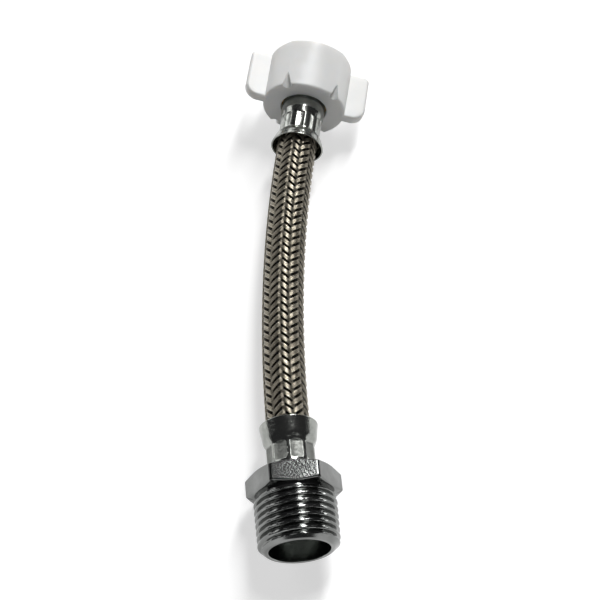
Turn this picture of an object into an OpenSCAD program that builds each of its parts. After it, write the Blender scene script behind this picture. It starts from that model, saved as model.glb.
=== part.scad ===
// Braided supply line for a toilet cistern: a short steel-braided hose, crimped at one
// end to a plated male pipe fitting and at the other to a flanged stem, on which a
// plastic wing nut turns. Sizes are in millimetres.
//
// Frame: Y runs along the inlet fitting's axis towards the hose and Z points up. The
// origin is on that axis, where the first full crest of the inlet thread begins. The
// line lies on a table, on one flat of its hexagon and on the rim of its nut.

/* [Threads] */
// Threads per inch, of both the inlet thread and the nut's thread
threads_per_inch = 14; // [11:0.5:18]
// Outside diameter of the inlet pipe thread, over its crests
inlet_thread_d = 21.3; // [19.5:0.1:25]
// Turns of the inlet thread
inlet_turns = 7; // [3:1:10]
// Depth of the inlet thread, from crest to root
inlet_thread_depth = 1.1; // [0.5:0.05:1.3]
// Diameter of the threaded shank that the nut screws onto
nut_thread_d = 22.2; // [20.5:0.1:23]
// Turns of the nut's thread
nut_turns = 4; // [2:1:8]
// Depth of the nut's thread, from crest to root
nut_thread_depth = 0.95; // [0.4:0.05:1.2]

/* [Inlet fitting] */
// Length of the bevel that leads the inlet thread in
lead_in = 1.5; // [0.5:0.1:3]
// Width of the flat rim round the inlet's mouth
mouth_rim = 0.8; // [0.3:0.1:1.4]
// Bore of the inlet
inlet_bore_d = 16; // [8:0.1:16.6]
// Point angle of the drill that makes the inlet bore
drill_angle = 118; // [90:1:150]
// Metal left between the point of the inlet bore and the hexagon's far face
inlet_web = 2.8; // [0.5:0.1:4]
// Plain neck between the inlet thread and the hexagon
neck_len = 0.2; // [0.2:0.05:6]
// Hexagon, across its flats
hex_af = 22; // [20:0.1:30]
// Thickness of the hexagon
hex_h = 5.8; // [4:0.1:12]
// Angle of the bevel on both faces of the hexagon
hex_bevel_angle = 21; // [10:1:40]
// How far inside its flats the hexagon's bevel begins
hex_bevel_in = 0.2; // [0.1:0.1:1.5]

/* [Barbed stems] */
// Waterway through each barbed stem
stem_bore_d = 5.5; // [3:0.1:6]
// Length of each barbed stem, from its ferrule's base
stem_len = 12; // [6:0.5:12.5]
// Barbs on each stem
barbs = 3; // [1:1:5]
// Height of each barb
barb_h = 0.4; // [0.1:0.05:0.5]
// Gap between a stem's barbs and the inner tube
stem_clearance = 0.05; // [0.02:0.01:0.15]
// Height of the collar on which each ferrule's base sits, above the inner tube's bore
collar_step = 0.5; // [0.2:0.1:0.8]

/* [Hose] */
// Bore of the inner tube
tube_bore_d = 8; // [7.5:0.1:10]
// Wall of the inner tube
tube_wall = 1.4; // [1:0.1:2.5]
// Thickness of the wire braid, over its crossings
braid_t = 0.5; // [0.3:0.05:1]
// Gap between the inner tube and the braid
layer_gap = 0.05; // [0.02:0.01:0.1]
// Step by which each layer is slimmer in its ferrules than in the bow between them
grip_step = 0.02; // [0.01:0.01:0.04]
// Length of hose that shows between the two ferrules
free_len = 92; // [60:1:400]
// Bend of the hose from one end to the other
bow_angle = 13; // [4:0.5:40]
// Tilt of the bow's plane from level, which lifts the nut's axis above the hexagon's
bow_tilt = 6.5; // [0:0.5:30]

/* [Ferrules] */
// Wall of each ferrule
ferrule_wall = 0.45; // [0.3:0.05:0.8]
// Thickness of the turned-in base of each ferrule
ferrule_base_t = 0.6; // [0.4:0.1:1]
// How far the crimp squeezes the hose inwards
squeeze = 0.4; // [0.1:0.05:0.6]
// Gap between the squeezed hose and its ferrule
crimp_clearance = 0.05; // [0.02:0.01:0.15]
// Flats that the crimping jaws leave round each ferrule
crimp_flats = 9; // [6:1:12]
// Height of the ridges that stand between those flats
crimp_ridge = 0.4; // [0.1:0.05:0.5]
// Turn of the flats round each ferrule
crimp_turn = -17; // [-30:1:30]
// Length of the crimped stretch
crimp_len = 5.7; // [4:0.1:12]
// Length of the shoulder that rises from the crimp's ridges to the flared mouth
shoulder_len = 1.2; // [0.5:0.1:2.5]
// How far that shoulder stands out from the crimp's ridges
shoulder_out = 0.7; // [0.2:0.05:1.5]
// How far the flared mouth stands out from that shoulder
flare_out = 0.75; // [0.2:0.05:3]
// Length of the inlet ferrule's flared mouth, with its shoulder
inlet_flare_len = 6.2; // [4:0.1:10]
// Length of the outlet ferrule's flared mouth, with its shoulder
outlet_flare_len = 3.9; // [3.5:0.1:10]
// Plain ring between the inlet ferrule's crimp and the hexagon
inlet_plain_len = 2.15; // [0.7:0.05:5]
// Plain neck of the outlet ferrule that shows below the nut
outlet_plain_show = 5.1; // [0.5:0.1:8]

/* [Outlet] */
// Gap round the flange that the nut pulls on, inside the nut's thread
flange_side_gap = 0.85; // [0.3:0.05:1.5]
// Thickness of that flange
flange_t = 1.5; // [1:0.1:3]
// Diameter of the spigot that locates the washer
spigot_d = 9.6; // [9:0.1:12]
// Height of the washer's straight base
washer_base_h = 1.4; // [0.8:0.1:4]
// Height of the washer's cone
washer_cone_h = 2.6; // [1:0.1:8]
// Gap round the washer's base, inside the nut's thread
washer_side_gap = 0.55; // [0.3:0.05:1.5]
// Wall of the washer at its tip
washer_tip_wall = 1.65; // [0.5:0.05:3]
// Gap between the washer and its spigot
washer_clearance = 0.05; // [0.02:0.01:0.3]

/* [Wing nut] */
// Wall of the nut outside its thread, at its mouth
nut_wall = 1.6; // [1.4:0.1:5]
// How much slimmer the nut is at its underside than at its mouth, on each side
nut_draft = 0.1; // [0.1:0.1:1.2]
// Thickness of the nut's underside
nut_base_t = 2.2; // [1.5:0.1:4]
// Gap between the nut's underside and the flange that carries it
swivel_gap = 0.3; // [0.1:0.05:0.8]
// Gap between the nut's hole and the ferrule that passes through it
hole_clearance = 0.5; // [0.3:0.05:1]
// Gap between the washer's tip and the nut's thread
thread_clearance = 0.2; // [0.1:0.05:1]
// How far the chamber round the flange and the washer stands back from the nut's thread
thread_relief = 0.4; // [0.2:0.05:0.8]
// Length of the bevel at the nut's mouth
mouth_bevel = 0.65; // [0.3:0.05:1.2]
// Bevel of the nut's outer edges
edge_bevel = 0.8; // [0.2:0.1:1.5]
// How far the flat on each plain side of the nut leans in at the underside
flat_in = 1; // [0.3:0.1:1.2]
// Angle between the two notches on each plain side
notch_angle = 74; // [64:1:84]
// Height of those notches
notch_h = 4.3; // [1:0.1:8]
// Width of those notches at the underside
notch_w = 2.6; // [1:0.1:3.5]
// Span over the two wings
wing_span = 37.5; // [32:0.1:60]
// Thickness of each wing
wing_t = 3.2; // [2:0.1:5]
// Radius of each wing's corner at the underside
wing_low_r = 4.2; // [0.5:0.1:5]
// Radius of each wing's corner at the mouth
wing_top_r = 1.6; // [0.5:0.1:4]
// Turn of the wings from level
wing_turn = 18; // [-90:1:90]

/* [Hidden] */
$fn = 96;
// Finer steps round the wide circle of the bow
bow_fn = 360;
inch = 25.4;
// Overshoot of a cut past the face that it opens
cut = 1;

// Threads
pitch = inch / threads_per_inch;
crest_land = pitch / 4;
inlet_thread_r = inlet_thread_d / 2;
inlet_root_r = inlet_thread_r - inlet_thread_depth;
inlet_thread_len = inlet_turns * pitch + crest_land;
nut_root_r = nut_thread_d / 2;
nut_crest_r = nut_root_r - nut_thread_depth;
nut_thread_len = nut_turns * pitch + crest_land;

// Inlet fitting, along its axis from the origin
hex_sides = 6;
inlet_bore_r = inlet_bore_d / 2;
mouth_z = -lead_in;
hex_near_z = inlet_thread_len + neck_len;
hex_far_z = hex_near_z + hex_h;
hex_corner_r = hex_af / 2 / cos(180 / hex_sides);
hex_face_r = hex_af / 2 - hex_bevel_in;
stem_bore_r = stem_bore_d / 2;
drill_cone_h = (inlet_bore_r - stem_bore_r) / tan(drill_angle / 2);
inlet_bore_end_z = hex_far_z - inlet_web - drill_cone_h;

// Stems and hose layers
tube_bore_r = tube_bore_d / 2;
stem_r = tube_bore_r - grip_step - stem_clearance;
collar_r = tube_bore_r + collar_step;
tube_r = tube_bore_r + tube_wall;
braid_bore_r = tube_r + layer_gap;
braid_r = braid_bore_r + braid_t;
hose_end_gap = crimp_clearance;

// Ferrules, along their axis from their base
ferrule_bore_r = braid_r - squeeze + crimp_clearance;
crimp_flat_r = ferrule_bore_r + ferrule_wall;
ferrule_r = crimp_flat_r + crimp_ridge;
shoulder_r = ferrule_r + shoulder_out;
flare_r = shoulder_r + flare_out;
outlet_plain_len = outlet_plain_show + nut_base_t + swivel_gap;
inlet_ferrule_len = inlet_plain_len + crimp_len + inlet_flare_len;
outlet_ferrule_len = outlet_plain_len + crimp_len + outlet_flare_len;

// Bow of the hose
inlet_mouth_z = hex_far_z + inlet_ferrule_len;
bow_r = free_len / (bow_angle * PI / 180);

// Outlet, along its axis from the outlet ferrule's mouth
nut_z = outlet_ferrule_len - nut_base_t - swivel_gap;
flange_top_z = outlet_ferrule_len + flange_t;
flange_r = nut_crest_r - flange_side_gap;
spigot_r = spigot_d / 2;
washer_bore_r = spigot_r + washer_clearance;
washer_r = nut_crest_r - washer_side_gap;
washer_h = washer_base_h + washer_cone_h;

// Wing nut, along its axis from its underside
nut_hole_r = ferrule_r + hole_clearance;
chamber_r = nut_crest_r + thread_relief;
nut_thread_z = flange_top_z - nut_z + washer_h + thread_clearance;
nut_h = nut_thread_z + nut_thread_len + mouth_bevel;
nut_mouth_r = nut_root_r + nut_wall;
nut_base_r = nut_mouth_r - nut_draft;
flat_top_z = nut_h - 2 * edge_bevel;
wing_reach = wing_span / 2;

// Points of a thread's outline from one crest land to the last, towards +Z: a land on
// each crest, a land on each root and a slope between them
function thread_points(crest, root, turns) = [
    for (i = [0 : turns]) each concat(
        [[crest, i * pitch], [crest, i * pitch + crest_land]],
        i < turns ? [[root, (i + 0.5) * pitch], [root, (i + 0.5) * pitch + crest_land]] : [])
];

// Saw-tooth outline of a barbed stem from its collar to its tip, towards +Z
function barb_points(from_z, to_z) = let (step = (to_z - from_z) / barbs) [
    for (i = [0 : barbs - 1]) each [
        [stem_r, from_z + i * step],
        [stem_r - barb_h, from_z + (i + 1) * step]
    ]
];

// Puts a piece that is built along +Z onto the inlet's axis
module on_inlet() {
    rotate([-90, 0, 0]) children();
}

// Puts a piece that is built along +Y from the inlet ferrule's mouth into the bow's plane
module in_bow_plane() {
    translate([0, inlet_mouth_z, 0]) rotate([0, -bow_tilt, 0]) children();
}

// Puts a piece that is built along +Z onto the outlet's axis, from its ferrule's mouth
module on_outlet() {
    in_bow_plane()
        translate([bow_r, 0, 0])
            rotate([0, 0, -bow_angle])
                translate([-bow_r, 0, 0])
                    rotate([-90, 0, 0]) children();
}

// Turns a piece that is built along +Z end for end, about a plane at half of len
module flipped(len) {
    translate([0, 0, len]) rotate([180, 0, 0]) children();
}

// Solid outline of a collar and a barbed stem that rises from it
module barbed_stem() {
    rotate_extrude()
        polygon(concat(
            [[0, -ferrule_base_t], [collar_r, -ferrule_base_t], [collar_r, ferrule_base_t]],
            barb_points(ferrule_base_t, stem_len),
            [[0, stem_len]]));
}

// Hexagon with both faces bevelled back from its corners
module bevelled_hex() {
    drop = (hex_corner_r - hex_face_r) * tan(hex_bevel_angle);
    intersection() {
        cylinder(r = hex_corner_r, h = hex_h, $fn = hex_sides);
        rotate_extrude()
            polygon([[0, 0], [hex_face_r, 0], [hex_corner_r, drop],
                     [hex_corner_r, hex_h - drop], [hex_face_r, hex_h], [0, hex_h]]);
    }
}

// Crimped ferrule from its turned-in base to its flared mouth, with a plain ring between
// the base and the crimp and a shoulder between the crimp and the mouth
module ferrule(plain_len, flare_len) {
    crimp_z = plain_len + crimp_len;
    shoulder_z = crimp_z + shoulder_len;
    end_z = crimp_z + flare_len;
    difference() {
        union() {
            cylinder(r = ferrule_r, h = plain_len);
            intersection() {
                cylinder(r = ferrule_r, h = crimp_z);
                rotate(crimp_turn)
                    cylinder(r = crimp_flat_r / cos(180 / crimp_flats), h = crimp_z, $fn = crimp_flats);
            }
            rotate_extrude()
                polygon([[0, crimp_z], [ferrule_r, crimp_z], [shoulder_r, shoulder_z],
                         [flare_r, end_z], [0, end_z]]);
        }
        translate([0, 0, -cut])
            cylinder(r = collar_r + crimp_clearance, h = ferrule_base_t + 2 * cut);
        rotate_extrude()
            polygon([[0, ferrule_base_t], [ferrule_bore_r, ferrule_base_t], [ferrule_bore_r, crimp_z],
                     [shoulder_r - ferrule_wall, shoulder_z], [flare_r - ferrule_wall, end_z],
                     [flare_r - ferrule_wall, end_z + cut], [0, end_z + cut]]);
    }
}

// Solid outline of a hose layer inside a ferrule: squeezed as far as the crimp reaches,
// then swelling to its full radius on the way to the ferrule's mouth
module gripped_stretch(plain_len, flare_len, squeezed_r, full_r) {
    from_z = ferrule_base_t + hose_end_gap;
    crimp_z = plain_len + crimp_len;
    end_z = crimp_z + flare_len;
    rotate_extrude()
        polygon([[0, from_z], [squeezed_r, from_z], [squeezed_r, crimp_z],
                 [full_r, crimp_z + flare_len / 2], [full_r, end_z], [0, end_z]]);
}

// Solid outline of a hose layer along its whole route: gripped, bowed, gripped
module hose_route(squeezed_r, bow_layer_r) {
    gripped_r = bow_layer_r - grip_step;
    on_inlet() translate([0, 0, hex_far_z])
        gripped_stretch(inlet_plain_len, inlet_flare_len, squeezed_r, gripped_r);
    in_bow_plane()
        translate([bow_r, 0, 0])
            rotate([0, 0, 180 - bow_angle])
                rotate_extrude(angle = bow_angle, $fn = bow_fn)
                    translate([bow_r, 0]) circle(r = bow_layer_r);
    on_outlet() flipped(outlet_ferrule_len)
        gripped_stretch(outlet_plain_len, outlet_flare_len, squeezed_r, gripped_r);
}

// Outline of both wings, across the nut's axis, with their outer corners rounded
module wings_outline() {
    difference() {
        translate([-wing_reach, 0]) square([wing_span, nut_h]);
        for (side = [0, 1]) mirror([side, 0]) {
            translate([-wing_reach, 0]) corner_cut(wing_low_r);
            translate([-wing_reach, nut_h]) mirror([0, 1]) corner_cut(wing_top_r);
        }
    }
}

// What rounding a square corner at the origin takes away from it
module corner_cut(r) {
    difference() {
        translate([-cut, -cut]) square(r + cut);
        translate([r, r]) circle(r = r);
    }
}

// Turned and milled brass fitting: thread, neck, hexagon and barbed stem in one piece
module male_fitting() {
    color("silver") on_inlet() difference() {
        union() {
            rotate_extrude()
                polygon(concat(
                    [[0, mouth_z], [inlet_bore_r + mouth_rim, mouth_z]],
                    thread_points(inlet_thread_r, inlet_root_r, inlet_turns),
                    [[inlet_root_r, inlet_thread_len + neck_len / 2],
                     [inlet_root_r, hex_near_z], [0, hex_near_z]]));
            translate([0, 0, hex_near_z]) bevelled_hex();
            translate([0, 0, hex_far_z]) barbed_stem();
        }
        rotate_extrude()
            polygon([[0, mouth_z - cut], [inlet_bore_r, mouth_z - cut], [inlet_bore_r, inlet_bore_end_z],
                     [stem_bore_r, inlet_bore_end_z + drill_cone_h],
                     [stem_bore_r, hex_far_z + stem_len + cut], [0, hex_far_z + stem_len + cut]]);
    }
}

// Steel ferrule that clamps the hose onto the inlet fitting's stem
module inlet_ferrule() {
    color("lightsteelblue") on_inlet() translate([0, 0, hex_far_z]) ferrule(inlet_plain_len, inlet_flare_len);
}

// Rubber tube that carries the water
module inner_tube() {
    color("dimgray") difference() {
        hose_route(tube_r - squeeze, tube_r);
        hose_route(tube_bore_r - grip_step, tube_bore_r);
    }
}

// Woven wire braid over the tube, as the plain sleeve that it fills
module braid_sleeve() {
    color("darkgray") difference() {
        hose_route(braid_r - squeeze, braid_r);
        hose_route(braid_bore_r - squeeze, braid_bore_r);
    }
}

// Steel ferrule that clamps the hose onto the outlet stem
module outlet_ferrule() {
    color("lightsteelblue") on_outlet() flipped(outlet_ferrule_len)
        ferrule(outlet_plain_len, outlet_flare_len);
}

// Brass stem: barbs inside the hose, a flange inside the nut and a spigot for the washer
module outlet_stem() {
    color("goldenrod") on_outlet() difference() {
        union() {
            flipped(outlet_ferrule_len) barbed_stem();
            translate([0, 0, outlet_ferrule_len]) cylinder(r = flange_r, h = flange_t);
            translate([0, 0, flange_top_z]) cylinder(r = spigot_r, h = washer_base_h);
        }
        translate([0, 0, outlet_ferrule_len - stem_len - cut])
            cylinder(r = stem_bore_r, h = stem_len + flange_t + washer_base_h + 2 * cut);
    }
}

// Rubber washer that the nut presses into the valve's shank
module cone_washer() {
    color("black") on_outlet() translate([0, 0, flange_top_z])
        difference() {
            union() {
                cylinder(r = washer_r, h = washer_base_h);
                translate([0, 0, washer_base_h])
                    cylinder(r1 = washer_r, r2 = washer_bore_r + washer_tip_wall, h = washer_cone_h);
            }
            translate([0, 0, -cut]) cylinder(r = washer_bore_r, h = washer_h + 2 * cut);
        }
}

// Plastic nut that is tightened by hand on its two wings
module wing_nut() {
    color("whitesmoke") on_outlet() translate([0, 0, nut_z]) rotate(wing_turn)
        difference() {
            union() {
                nut_body();
                translate([0, wing_t / 2, 0]) rotate([90, 0, 0])
                    linear_extrude(wing_t) wings_outline();
            }
            nut_cavity();
        }
}

// Outside of the nut: round, bevelled at both rims, with a leaning flat and two notches
// on each of the two sides that carry no wing
module nut_body() {
    difference() {
        rotate_extrude()
            polygon([[0, 0], [nut_base_r - edge_bevel, 0], [nut_base_r, edge_bevel],
                     [nut_mouth_r, nut_h - edge_bevel], [nut_mouth_r - edge_bevel, nut_h],
                     [0, nut_h]]);
        for (side = [90, 270])
            rotate(side) {
                nut_flat();
                for (half = [-notch_angle / 2, notch_angle / 2])
                    rotate(half) nut_notch();
            }
    }
}

// What lies outside a flat, which leans in from the nut's mouth to its underside
module nut_flat() {
    rotate([90, 0, 0])
        linear_extrude(2 * nut_mouth_r, center = true)
            polygon([[nut_base_r - flat_in, -cut], [2 * nut_mouth_r, -cut],
                     [2 * nut_mouth_r, flat_top_z], [nut_mouth_r + nut_draft, flat_top_z]]);
}

// Pointed notch at the underside
module nut_notch() {
    translate([nut_base_r - edge_bevel / 2, 0, -cut])
        cylinder(r1 = notch_w / 2 * (1 + cut / notch_h), r2 = 0, h = notch_h + cut);
}

// Inside of the nut: the hole in its underside, a relieved chamber round the flange and
// the washer, the thread and the bevel at its mouth
module nut_cavity() {
    rotate_extrude()
        polygon(concat(
            [[0, -cut], [nut_hole_r, -cut], [nut_hole_r, nut_base_t], [chamber_r, nut_base_t],
             [chamber_r, nut_thread_z - thread_relief]],
            [for (p = thread_points(nut_crest_r, nut_root_r, nut_turns)) [p[0], nut_thread_z + p[1]]],
            [[nut_crest_r + mouth_bevel, nut_h], [nut_crest_r + mouth_bevel, nut_h + cut],
             [0, nut_h + cut]]));
}

male_fitting();
inlet_ferrule();
inner_tube();
braid_sleeve();
outlet_ferrule();
outlet_stem();
cone_washer();
wing_nut();
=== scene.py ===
"""Looks of a braided supply line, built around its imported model.

The classes hold their sizes in millimetres, which become metres where a mesh is made. The
frame is the model's own: Y runs along the inlet fitting towards the hose, Z is up, and the
line lies on a table at the height of the hexagon's lowest flat.
"""

import logging
import math
from dataclasses import dataclass, field
from enum import Enum
from typing import Any

import bpy
import numpy as np
from mathutils import Matrix, Vector


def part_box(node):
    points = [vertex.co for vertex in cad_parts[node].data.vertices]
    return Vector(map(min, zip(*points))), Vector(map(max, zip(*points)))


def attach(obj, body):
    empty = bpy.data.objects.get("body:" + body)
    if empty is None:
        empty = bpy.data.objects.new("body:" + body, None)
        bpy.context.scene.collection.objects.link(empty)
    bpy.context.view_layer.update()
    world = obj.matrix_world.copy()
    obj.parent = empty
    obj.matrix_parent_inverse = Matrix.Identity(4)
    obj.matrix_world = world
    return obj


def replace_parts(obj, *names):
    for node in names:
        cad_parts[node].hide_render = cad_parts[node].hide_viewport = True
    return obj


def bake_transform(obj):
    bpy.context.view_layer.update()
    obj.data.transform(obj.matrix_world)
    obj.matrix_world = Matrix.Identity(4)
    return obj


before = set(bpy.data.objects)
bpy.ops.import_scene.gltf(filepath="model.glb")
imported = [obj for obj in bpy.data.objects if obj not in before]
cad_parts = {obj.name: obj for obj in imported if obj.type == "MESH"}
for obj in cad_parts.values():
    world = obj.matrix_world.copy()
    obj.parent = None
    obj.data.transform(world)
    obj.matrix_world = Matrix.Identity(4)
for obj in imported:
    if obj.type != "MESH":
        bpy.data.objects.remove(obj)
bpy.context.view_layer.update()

MM = 0.001
TAU = 2.0 * math.pi
IMAGE_SIDE = 600
Array = np.ndarray
Colour = tuple[float, float, float]
log = logging.getLogger("supply_line")


class Body(Enum):
    """Bodies of the model that pieces ride on."""

    INLET = "inlet_end"
    OUTLET = "outlet_end"
    NUT = "nut"


class Lay(Enum):
    """Which way a bundle of wires winds round the hose, seen along it."""

    RIGHT = 1
    LEFT = -1


# Surfaces


def eased(t: Array) -> Array:
    """Smooth step: three t squared less two t cubed, with t held between 0 and 1."""
    held = np.clip(t, 0.0, 1.0)
    return held * held * (3.0 - 2.0 * held)


def soft_min(a: Array, b: Array, blend: float) -> Array:
    """Smaller of two lengths, with the corner where they cross rounded over a length.

    Args:
        a: First length.
        b: Second length.
        blend: Length over which the corner is rounded.

    Returns:
        b + (a - b) h - blend h (1 - h), where h runs from 0 to 1 across the corner.
    """
    h = np.clip(0.5 + 0.5 * (b - a) / blend, 0.0, 1.0)
    return b + (a - b) * h - blend * h * (1.0 - h)


def rolled(share: Array) -> Array:
    """A sine or cosine to the power 0.8 with its sign kept, which squares a circle a little."""
    return np.sign(share) * np.abs(share) ** 0.8


@dataclass(frozen=True)
class Place:
    """Where a turned piece stands: a point on its axis, and the axes across and along it."""

    origin: Array
    right: Array
    up: Array
    along: Array

    def point(self, radius: Array, angle: Array, height: Array) -> Array:
        """Points of a turned surface.

        Args:
            radius: Distance from the axis.
            angle: Turn about the axis, from up towards right.
            height: Distance along the axis.

        Returns:
            origin + radius (sin angle right + cos angle up) + height along, for whole arrays.
        """
        radius, angle, height = np.broadcast_arrays(radius, angle, height)
        across = (radius * np.sin(angle))[..., None] * self.right
        above = (radius * np.cos(angle))[..., None] * self.up
        return self.origin + across + above + height[..., None] * self.along

    def moved(self, height: float, turned_back: bool = False) -> "Place":
        """The same place further along its axis, facing back if asked.

        Args:
            height: Distance along the axis.
            turned_back: Whether the new place's axis points the other way.

        Returns:
            The new place.
        """
        along = -self.along if turned_back else self.along
        return Place(self.origin + height * self.along, self.right, self.up, along)


def rounded_path(corners: list, fillets: list[float], step: float) -> Array:
    """Open outline through corners, each rounded by its own fillet.

    A fillet is the quadratic curve (1-t)^2 a + 2 t (1-t) c + t^2 b about corner c, between the
    points a and b that lie one fillet's length away along its two sides. A straight stretch is
    divided evenly.

    Args:
        corners: (radius, height) of each corner; either may be an array over the angles.
        fillets: Fillet length at each corner; the two ends have none.
        step: Longest stretch between two points.

    Returns:
        Array of (rows, angles, 2), with one column where no corner changes round the axis.
    """
    points = np.stack([np.stack(np.broadcast_arrays(*np.atleast_1d(r, z)), -1) for r, z in spread(corners)])
    sides = np.diff(points, axis=0)
    lengths = np.linalg.norm(sides, axis=-1)
    unit = sides / np.maximum(lengths, 1e-9)[..., None]
    share = np.linspace(0.0, 1.0, 7)[:, None, None]
    rows = [points[:1]]
    for i in range(1, len(points)):
        last = i == len(points) - 1
        room = lengths[i - 1] if last else np.minimum(lengths[i - 1], lengths[i])
        cut = np.minimum(0.0 if last else fillets[i], 0.45 * room)[..., None]
        start = points[i] - unit[i - 1] * cut
        count = max(int(np.ceil(np.max(np.linalg.norm(start - rows[-1][-1], axis=-1)) / step)), 1)
        fill = np.linspace(0.0, 1.0, count + 1)[1:, None, None]
        rows.append(rows[-1][-1] + fill * (start - rows[-1][-1]))
        if not last and fillets[i] > 0.0:
            end = points[i] + unit[i] * cut
            curve = (1 - share) ** 2 * start + 2 * share * (1 - share) * points[i] + share**2 * end
            rows.append(curve[1:])
    return np.concatenate(rows)


def spread(corners: list) -> list[tuple[Array, Array]]:
    """Corners with their radius and height as arrays over the same angles.

    Args:
        corners: (radius, height) of each corner, as numbers or as arrays.

    Returns:
        The corners, all as wide as the widest of them.
    """
    width = max(np.size(v) for corner in corners for v in corner)
    return [tuple(np.broadcast_to(np.asarray(v, float), (width,)) for v in corner) for corner in corners]


class Surface:
    """Vertices and faces of one piece, gathered as whole arrays and then made an object."""

    def __init__(self) -> None:
        """Starts with no points and no faces."""
        self.points: list[Array] = []
        self.faces: list[Array] = []
        self.marks: dict[str, list[Array]] = {}
        self.count = 0

    def add(self, points: Array, faces: list[Array], **marks: Array) -> None:
        """Adds points, their faces and their marks.

        Args:
            points: (n, 3) points in millimetres.
            faces: Index arrays of (m, k), one for each number of corners k.
            marks: Values at the points, which a finish reads by name.
        """
        self.points.append(points)
        self.faces += [f + self.count for f in faces]
        for name, values in marks.items():
            self.marks.setdefault(name, []).append(np.broadcast_to(values, points.shape[:1]))
        self.count += len(points)

    def add_ring(self, grid: Array, **marks: Array) -> None:
        """Adds a closed ring: a closed outline, one column of the grid, carried round an axis.

        Args:
            grid: (rows, columns, 3) points; both directions close on themselves.
            marks: (rows, columns) values, which a finish reads by name.
        """
        rows, columns = grid.shape[:2]
        index = np.arange(rows * columns).reshape(rows, columns)
        beside = np.roll(index, -1, axis=1)
        quads = np.stack([index, beside, np.roll(beside, -1, axis=0), np.roll(index, -1, axis=0)], -1)
        flat = {name: np.broadcast_to(v, (rows, columns)).ravel() for name, v in marks.items()}
        self.add(grid.reshape(-1, 3), [quads.reshape(-1, 4)], **flat)

    def add_tubes(self, rings: Array, **marks: Array) -> None:
        """Adds tubes with closed ends.

        Args:
            rings: (tubes, samples, sides, 3) points.
            marks: (tubes, samples) values, which a finish reads by name.
        """
        tubes, samples, sides = rings.shape[:3]
        index = np.arange(tubes * samples * sides).reshape(tubes, samples, sides)
        beside = np.roll(index, -1, axis=2)
        quads = np.stack([index[:, :-1], beside[:, :-1], beside[:, 1:], index[:, 1:]], -1)
        caps = [index[:, 0, ::-1], index[:, -1]]
        flat = {name: np.repeat(np.broadcast_to(v, (tubes, samples)), sides) for name, v in marks.items()}
        self.add(rings.reshape(-1, 3), [quads.reshape(-1, 4), *caps], **flat)

    def volume(self, points: Array) -> float:
        """Signed volume inside the faces: a sixth of the sum of a . (b x c) over their triangles."""
        total = 0.0
        for face in self.faces:
            a = points[face[:, :1]]
            b = points[face[:, 1:-1]]
            c = points[face[:, 2:]]
            total += float(np.sum(a * np.cross(b, c))) / 6.0
        return total

    def build(self, name: str, crease: float = 40.0) -> bpy.types.Object:
        """Makes the object, in metres, with its faces outwards.

        Args:
            name: Name of the piece.
            crease: Angle in degrees past which an edge is kept sharp.

        Returns:
            The new object, linked to the scene, at the origin.
        """
        points = np.concatenate(self.points) * MM
        turned = self.volume(points) < 0.0
        faces = [f[:, ::-1] if turned else f for f in self.faces]
        totals = np.concatenate([np.full(len(f), f.shape[1]) for f in faces])
        mesh = bpy.data.meshes.new(name)
        mesh.vertices.add(len(points))
        mesh.vertices.foreach_set("co", points.astype(np.float32).ravel())
        mesh.loops.add(int(totals.sum()))
        mesh.loops.foreach_set("vertex_index", np.concatenate([f.ravel() for f in faces]).astype(np.int32))
        mesh.polygons.add(len(totals))
        mesh.polygons.foreach_set("loop_start", (np.cumsum(totals) - totals).astype(np.int32))
        for mark, values in self.marks.items():
            attribute = mesh.attributes.new(mark, "FLOAT", "POINT")
            attribute.data.foreach_set("value", np.concatenate(values).astype(np.float32))
        mesh.update(calc_edges=True)
        mesh.shade_smooth()
        mesh.set_sharp_from_angle(angle=math.radians(crease))
        piece = bpy.data.objects.new(name, mesh)
        bpy.context.scene.collection.objects.link(piece)
        return piece


# Shader maths


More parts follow.
